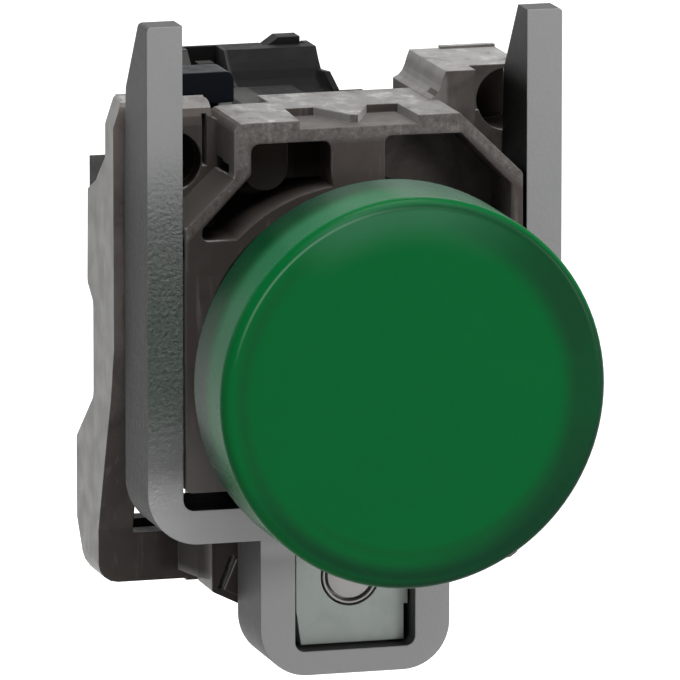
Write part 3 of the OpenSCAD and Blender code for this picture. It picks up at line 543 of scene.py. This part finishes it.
def cast_shade(paint, front, left):
    """Paints shade on the faces beside the block, in the holes, in the slot and in the corner under the fork.

    Gives back their masks, apart from that of the block's flank, which keeps its gloss.
    """
    paint.blend(CAST["block_flank_shade"], collar_zone(paint, "block_flank_shade"), left, 0.9)
    slant_shade = paint.product(paint.facing("X", -1, 0.45, 0.6), paint.facing("Z", 1, 0.45, 0.6),
        collar_zone(paint, "slant_shade"))
    paint.blend(CAST["slant_shade"], slant_shade, 0.9)
    ear_shade = paint.product(front, collar_zone(paint, "ear_shade"))
    paint.blend(CAST["ear_shade"], ear_shade, 0.9)
    ear_hole = paint.below(paint.radius(*EAR_HOLE_CENTRE), EAR_HOLE_R, 0.2)
    post_hole = paint.below(paint.radius(*POST_HOLE_CENTRE), POST_HOLE_R, 0.1)
    holes = paint.most(paint.product(ear_hole, collar_zone(paint, "ear_hole")),
        paint.product(post_hole, collar_zone(paint, "post_hole")))
    paint.blend(CAST["holes"], holes)
    slot = collar_zone(paint, "slot")
    paint.blend(CAST["slot"], slot, 0.9)
    corner = collar_zone(paint, "under_fork_shade")
    paint.blend(CAST["under_fork_shade"], corner, 0.9)
    return slant_shade, ear_shade, holes, slot, corner


def cast():
    """Die-cast zinc alloy with painted light: a dark brown front and pale sides and top as painted
    reflection, painted shade in the pockets, and edges lightened for wear and with painted glints.
    """
    # The base colour is the pale side tone, a painted reflection of light from the left
    paint = Paint("die_cast", CAST["side"], 0.55, 0.05, Specular_IOR_Level=CAST_GLOSS)
    top, front, left = paint.facing("Z"), paint.facing("Y", -1), paint.facing("X", -1, 0.3, 0.8)
    rims = paint.most(paint.above("Z", 15.2, 0.8), paint.above(paint.slope(RIGHT_CHAMFER), 23.6, 0.5),
        paint.product(paint.above(paint.slope(LEFT_CHAMFER), 21.1, 0.5), paint.below("X", -7.6)))
    clouds = paint.noise(3.2, detail=6, rough=0.62, warp=0.6)
    cast_skin(paint, top, front, rims)
    cast_wear(paint, clouds, top, front, rims)
    cast_places(paint, clouds, top, front)
    # Where shade is painted, the gloss is lowered too
    dark = paint.most(*cast_pockets(paint, clouds, front), *cast_shade(paint, front, left))
    paint.gloss(dark, CAST_GLOSS, POCKET_GLOSS)
    paint.vary_rough(paint.noise(1.6, detail=5), 0.10)
    paint.soft_edges(0.13, CAST["worn_and_glinting_edge"], 0.45)
    paint.bump(paint.noise(1.8, detail=6, rough=0.65), 0.05, 0.6)
    paint.bump(paint.noise(0.22, detail=3), 0.010, 0.7)
    return paint.material


# Fork

# Painted light among the fork colours: the rough part carries a painted shadow of the lens tinted green by
# its painted reflection, bridge and tab are painted lighter, the left side, the right prong's inside, the
# top, the tops inside the fork and the wrinkle valleys are painted shade, the wrinkle crests a painted
# highlight, and worn edges take painted glints too
FORK = {
    "skin": (0.235, 0.235, 0.235),
    "cloud": (0.215, 0.225, 0.218),
    "shaded_rough_part": (0.088, 0.108, 0.094),
    "bridge": (0.49, 0.49, 0.49),
    "tab": (0.31, 0.31, 0.31),
    "shaded_left_side": (0.060, 0.060, 0.060),
    "right_prong_inside_shade": (0.0012, 0.0011, 0.0010),
    "top": (0.075, 0.075, 0.075),
    "bridge_top_shade": (0.004, 0.004, 0.004),
    "wrinkle_valley_shade": (0.045, 0.056, 0.048),
    "wrinkle_crest_highlight": (0.17, 0.20, 0.18),
    "worn_and_glinting_edge": (0.30, 0.30, 0.30),
}
FORK_ZONES = {
    "shaded_rough_part": {"x": (None, (0, 4)), "z": ((-5.5, 8), (9.5, 15))},
    "rough_relief": {"x": (None, (0, 4)), "z": ((-10.5, 5), (12, 11))},
    "bridge": {"z": (None, (-8.6, 3))},
    "tab": {"z": (None, (-14, 1.5))},
    "right_prong_inside_shade": {"x": (8, None), "z": (None, (18.9, 2.4))},
    "bridge_top_shade": {"z": (-13, -5)},
}


def fork_grey():
    """Cast fork: smooth tips and bridge, and a wrinkled skin on the left prong between them, darkened by a
    painted shadow of the lens; the bridge and tab are painted lighter, and sides, tops and hollows carry
    painted shade.
    """
    paint = Paint("fork_grey", FORK["skin"], 0.50, Specular_IOR_Level=0.10)
    zone = {name: paint.zone(**ranges) for name, ranges in FORK_ZONES.items()}
    front, left, top = paint.facing("Y", -1), paint.facing("X", -1, 0.3, 0.8), paint.facing("Z", 1, 0.3, 0.8)
    paint.blend(FORK["cloud"], paint.remap(paint.noise(4, detail=3), 0.4, 0.7, 0.0, 0.4))
    # Painted shadow of the lens on the left prong's wrinkled front, tinted green as a painted reflection of
    # the lens
    rough_front = paint.product(zone["shaded_rough_part"], front)
    paint.blend(FORK["shaded_rough_part"], rough_front, 0.95)
    # Bridge and tab fronts painted lighter, as if lit
    paint.blend(FORK["bridge"], front, zone["bridge"], 0.95)
    paint.blend(FORK["tab"], front, zone["tab"])
    # Painted shade on left sides, deep on the right prong's inner face, on tops, and deepest on the tops
    # inside the fork
    paint.blend(FORK["shaded_left_side"], left)
    paint.blend(FORK["right_prong_inside_shade"], left, zone["right_prong_inside_shade"])
    paint.blend(FORK["top"], top)
    paint.blend(FORK["bridge_top_shade"], top, zone["bridge_top_shade"])
    wrinkle = paint.noise(0.31, detail=4, rough=0.6, warp=0.3)
    # Painted shade in the wrinkles' valleys and a painted highlight on their crests
    paint.blend(FORK["wrinkle_valley_shade"], rough_front, paint.remap(wrinkle, 0.46, 0.30, 0.0, 0.65))
    paint.blend(FORK["wrinkle_crest_highlight"], rough_front, paint.remap(wrinkle, 0.54, 0.72, 0.0, 0.55))
    paint.vary_rough(paint.noise(0.8), 0.02)
    paint.soft_edges(0.14, FORK["worn_and_glinting_edge"], 0.35)
    paint.bump(paint.product(wrinkle, paint.remap(zone["rough_relief"], 0.0, 1.0, 0.06, 1.0)), 0.34)
    return paint.material


# Metal and plastic

# Recess at the top left of the module's housing
HOUSING_CORNER = {"x": (None, -1.7), "y": (None, 29.5), "z": (14.2, None)}
# Lower end and colour of each of the resistor's bands, and how wide they are
RESISTOR_BANDS = ((3.6, (0.25, 0.04, 0.02)), (4.7, (0.02, 0.02, 0.02)), (5.8, (0.6, 0.25, 0.02)),
    (7.2, (0.45, 0.33, 0.08)))
BAND_WIDTH = 0.45


def scaled(colour, factor):
    return tuple(min(1.0, factor * part) for part in colour)


def metal(name, colour, rough, grain, metallic, tint=None, edge=0.08):
    """Steel or brass with fine grain and faint stains."""
    paint = Paint(name, colour, rough, metallic, Specular_IOR_Level=0.2)
    paint.blend(tint or scaled(colour, 0.7), paint.remap(paint.noise(1.8, detail=5), 0.45, 0.75, 0.0, 0.6))
    paint.vary_rough(paint.noise(0.6, stretch=grain), 0.08)
    # Edges rounded in the shading and lightened, for wear and as a painted glint
    paint.soft_edges(edge, scaled(colour, 1.25), 0.4)
    paint.bump(paint.noise(0.12, detail=3, stretch=grain), 0.006, 0.6)
    return paint.material


def plastic(name, colour, rough, edge, grain=0.16, depth=0.010, side=None):
    """Moulded plastic with an eroded fine grain and softly lit edges.

    side is a lighter colour painted on faces to the left, where light falls. Only the module's housing has
    one, with a lighter corner recess.
    """
    paint = Paint(name, colour, rough, IOR=1.5, Specular_IOR_Level=0.03)
    if side:
        # Painted light on faces to the left
        paint.blend(side, paint.facing("X", -1))
        paint.blend(scaled(side, 2), paint.zone(**HOUSING_CORNER), paint.facing("Y", -1, -0.9, -0.3), 0.8)
    paint.blend(scaled(colour, 1.35), paint.remap(paint.noise(3.5, detail=4), 0.45, 0.75, 0.0, 0.5))
    paint.vary_rough(paint.noise(1.1), 0.05)
    paint.soft_edges(0.14, edge)
    paint.bump(paint.noise(grain, detail=3), depth, 0.7)
    return paint.material


def clear_plastic():
    paint = Paint("clear", (0.92, 0.95, 0.93), 0.08, IOR=1.49, Transmission_Weight=0.9)
    paint.vary_rough(paint.noise(1.2), 0.04)
    paint.soft_edges(0.1)
    paint.bump(paint.noise(0.3), 0.003, 0.4)
    return paint.material


def board_green():
    """Circuit board: solder resist with the weave of its glass cloth."""
    paint = Paint("board", (0.02, 0.10, 0.035), 0.35)
    weave = paint.product(paint.noise(0.5, stretch=(1, 1, 8)), paint.noise(0.5, stretch=(8, 1, 1)))
    paint.blend((0.05, 0.20, 0.08), paint.remap(weave, 0.2, 0.36, 0.0, 0.7))
    paint.bump(weave, 0.01)
    return paint.material


def resistor_paint():
    """Tan body with generic colour bands."""
    paint = Paint("resistor", (0.55, 0.40, 0.22), 0.4)
    place = paint.axis("Z")
    for low, colour in RESISTOR_BANDS:
        start = paint.math("GREATER_THAN", place, low)
        end = paint.math("LESS_THAN", place, low + BAND_WIDTH)
        paint.blend(colour, start, end)
    paint.bump(paint.noise(0.4), 0.01)
    return paint.material


# Pieces with more detail than their solids, in millimetres

SCREW_Z = -16.15
PITCH = 0.7
THREAD_TURNS = 16
# One turn's ridge as (part of the pitch, part of the height)
THREAD_PROFILE = ((0.0, 0.0), (0.12, 0.0), (0.46, 1.0), (0.66, 1.0))
# Steps in a full turn of a round piece and of the thread, and in a quarter turn of a corner
ROUND_STEPS = 72
THREAD_STEPS = 64
CORNER_STEPS = 6
# Faces that meet at more degrees than this keep a sharp edge
SHARP_ANGLE = 32


def new_piece(name, points, faces):
    """A mesh object from points in millimetres."""
    mesh = bpy.data.meshes.new(name)
    mesh.from_pydata([tuple(c * MM for c in point) for point in points], [], faces)
    piece = bpy.data.objects.new(name, mesh)
    bpy.context.collection.objects.link(piece)
    return piece


def revolve(name, profile):
    """Turns a profile of (radius, Y) from front to back about the clamp screw's axis."""
    points, faces, rings = [], [], []
    for r, y in profile:
        number = ROUND_STEPS if r > 0 else 1
        rings.append([len(points) + j for j in range(number)])
        for j in range(number):
            turn = math.tau * j / number
            points.append((r * math.sin(turn), y, SCREW_Z + r * math.cos(turn)))
    for ring, following in zip(rings, rings[1:]):
        for j in range(ROUND_STEPS):
            k = (j + 1) % ROUND_STEPS
            if len(ring) == 1:
                faces.append((ring[0], following[k], following[j]))
            elif len(following) == 1:
                faces.append((ring[j], ring[k], following[0]))
            else:
                faces.append((ring[j], ring[k], following[k], following[j]))
    return new_piece(name, points, faces)


def prism(name, outline, front, back):
    """A straight piece along Y whose outline of (X, Z) goes round anticlockwise seen from the front."""
    count = len(outline)
    points = [(x, y, z) for y in (front, back) for x, z in outline]
    faces = [tuple(range(count)), tuple(reversed(range(count, 2 * count)))]
    for i in range(count):
        k = (i + 1) % count
        faces.append((k, i, i + count, k + count))
    return new_piece(name, points, faces)


def thread(name, front, turns, root, crest):
    """The ridge of a right-hand thread round the clamp screw's axis, fading in and out over a turn."""
    points, faces = [], []
    row = len(THREAD_PROFILE)
    steps = turns * THREAD_STEPS
    for step in range(steps + 1):
        gone = step / THREAD_STEPS
        fade = min(1.0, gone, (steps - step) / THREAD_STEPS)
        for along, height in THREAD_PROFILE:
            r = root + (crest - root) * height * fade
            turn = math.tau * gone
            points.append((r * math.sin(turn), front + PITCH * (gone + along), SCREW_Z + r * math.cos(turn)))
    for step in range(steps):
        here, after = row * step, row * (step + 1)
        for p in range(row - 1):
            faces.append((here + p, after + p, after + p + 1, here + p + 1))
        if step + THREAD_STEPS < steps:
            last = row - 1
            turn_on = row * THREAD_STEPS
            faces.append((here + last, after + last, after + turn_on, here + turn_on))
    return new_piece(name, points, faces)


def cut(piece, cutter):
    """Takes cutter's volume out of piece."""
    tool = piece.modifiers.new("cut", "BOOLEAN")
    tool.operation, tool.solver, tool.object = "DIFFERENCE", "EXACT", cutter
    bpy.context.view_layer.objects.active = piece
    bpy.ops.object.modifier_apply(modifier=tool.name)
    bpy.data.objects.remove(cutter)


def groove(half_width, half_height, front, back):
    """A cutter for a straight groove across the clamp screw's axis."""
    low, high = SCREW_Z - half_height, SCREW_Z + half_height
    outline = [(-half_width, low), (half_width, low), (half_width, high), (-half_width, high)]
    return prism("cutter", outline, front, back)


def joined(name, pieces, material):
    """One object from several, in one material and smooth between its sharp edges."""
    bpy.ops.object.select_all(action="DESELECT")
    for piece in pieces:
        piece.select_set(True)
    bpy.context.view_layer.objects.active = pieces[0]
    bpy.ops.object.join()
    whole = pieces[0]
    whole.name = name
    whole.data.materials.clear()
    whole.data.materials.append(material)
    whole.data.shade_smooth()
    whole.data.set_sharp_from_angle(angle=math.radians(SHARP_ANGLE))
    return whole


def clamp_screw(material):
    """Clamp screw with its thread, its riveted swivel end in front and a slot and cross in its head."""
    front, neck_end, head, end = 1.28, 6.8, 19.0, 21.4
    disc_r, gap_r, rim_r = 1.64, 1.84, 2.01
    neck_r, core_r, crest_r, head_r = 1.25, 1.62, 1.98, 3.1
    disc = [(0, front), (0.9, front + 0.01), (1.5, front + 0.03), (1.62, front + 0.09),
        (disc_r, front + 0.95)]
    rim = [(1.82, front + 0.95), (gap_r, front + 0.04), (1.88, front), (1.97, front),
        (rim_r, front + 0.04), (rim_r, front + 1.1)]
    core = [(neck_r, front + 1.1), (neck_r, neck_end), (core_r, neck_end + 0.3), (core_r, head + 0.1),
        (0, head + 0.1)]
    rivet = revolve("rivet", disc + rim + core)
    ridge = thread("thread", neck_end + 0.4, THREAD_TURNS, core_r - 0.01, crest_r)
    top = revolve("head", [(0, head), (2.75, head), (head_r, head + 0.2), (head_r, end - 0.35),
        (2.98, end - 0.12), (2.75, end), (0, end)])
    cut(top, groove(head_r + 0.3, 0.35, end - 1.0, end + 0.3))
    cut(top, groove(0.35, 1.92, end - 1.5, end + 0.3))
    piece = joined("threaded_clamp_screw", [rivet, ridge, top], material)
    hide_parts("clamp_screw")
    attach(piece, "screw")


def pressure_plate(material):
    """Pressure plate in the fork's window, with the recess in which the screw's riveted end turns."""
    bottom, shoulder, top = -20.95, -18.4, -13.95
    block = prism("block", [(-3.6, bottom), (3.9, bottom), (3.9, shoulder), (4.2, shoulder), (4.2, top),
        (-3.95, top), (-3.95, shoulder)], 1.3, 6.62)
    corner_r, corner_x, corner_low, corner_high = 0.8, 4.6, -20.8, -15.2
    outline = []
    for x, z, start in ((corner_x, corner_low, 270), (corner_x, corner_high, 0),
            (-corner_x, corner_high, 90), (-corner_x, corner_low, 180)):
        for step in range(CORNER_STEPS + 1):
            turn = math.radians(start + 90 * step / CORNER_STEPS)
            outline.append((x + corner_r * math.cos(turn), z + corner_r * math.sin(turn)))
    flange = prism("flange", outline, 6.12, 6.72)
    recess_r, recess_floor, hole_r = 2.16, 2.6, 1.3
    for piece in (block, flange):
        cut(piece, revolve("cutter", [(0, 1.0), (recess_r, 1.0), (recess_r, recess_floor),
            (hole_r, recess_floor), (hole_r, 7), (0, 7)]))
    piece = joined("recessed_pressure_plate", [block, flange], material)
    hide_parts("pressure_plate")
    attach(piece, "fork")


# Dressing

def dress():
    """Gives every CAD node its material."""
    zinc = metal("zinc_steel", (0.245, 0.268, 0.252), 0.38, (1, 1, 6), 0.25, (0.20, 0.23, 0.21))
    screws = metal("screw_steel", (0.40, 0.39, 0.38), 0.32, (1, 1, 1), 0.5)
    dull = metal("dull_steel", (0.285, 0.275, 0.272), 0.36, (1, 1, 1), 0.3, edge=0.03)
    brass = metal("brass", (0.62, 0.45, 0.17), 0.3, (1, 1, 4), 1.0)
    rubber = plastic("seal_rubber", (0.006, 0.007, 0.014), 0.55, (0.03, 0.03, 0.045), grain=0.1)
    dark = plastic("dark_plastic", (0.010, 0.010, 0.010), 0.42, (0.05, 0.05, 0.05))
    looks = {
        "lens_cap": lens_green(),
        "diffuser": plastic("diffuser_white", (0.62, 0.65, 0.61), 0.5, (0.7, 0.7, 0.7)),
        "head_body": plastic("head_plastic", (0.030, 0.031, 0.033), 0.45, (0.08, 0.08, 0.08)),
        "collar_body": cast(),
        "clamp_fork": fork_grey(),
        "clamp_screw": dull,
        "lever_grip": plastic("grip_plastic", (0.003, 0.004, 0.006), 0.36, (0.05, 0.055, 0.06)),
        "ring_retainer": plastic("retainer_plastic", (0.010, 0.010, 0.010), 0.45, (0.05, 0.05, 0.05)),
        "module_housing": plastic("housing_plastic", (0.008, 0.008, 0.008), 0.42, (0.05, 0.05, 0.048),
            side=(0.030, 0.030, 0.029)),
        "module_cover": plastic("cover_plastic", (0.045, 0.045, 0.043), 0.5, (0.10, 0.10, 0.10)),
        "release_latch": dark,
        "rectifier": dark,
        "light_guide": clear_plastic(),
        "led": plastic("led_resin", (0.70, 0.74, 0.66), 0.2, (0.8, 0.8, 0.8), depth=0.002),
        "circuit_board": board_green(),
        "resistor": resistor_paint(),
    }
    for name in ("panel_seal", "lens_gasket"):
        looks[name] = rubber
    for name in ("contact_bar_top", "contact_bar_bottom"):
        looks[name] = brass
    for name in ("locking_ring", "pressure_plate", "latch_spring", "terminal_clamp_top",
            "terminal_clamp_bottom"):
        looks[name] = zinc
    for name in ("retainer_screws", "terminal_screw_top", "terminal_screw_bottom"):
        looks[name] = screws
    for name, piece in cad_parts.items():
        for slot in piece.material_slots:
            slot.material = looks[name]
    return looks


make_camera()
for lamp in LAMPS:
    area_light(*lamp)
make_world()
make_floor()
looks = dress()
clamp_screw(looks["clamp_screw"])
pressure_plate(looks["pressure_plate"])
bpy.context.scene.view_settings.view_transform = "Standard"
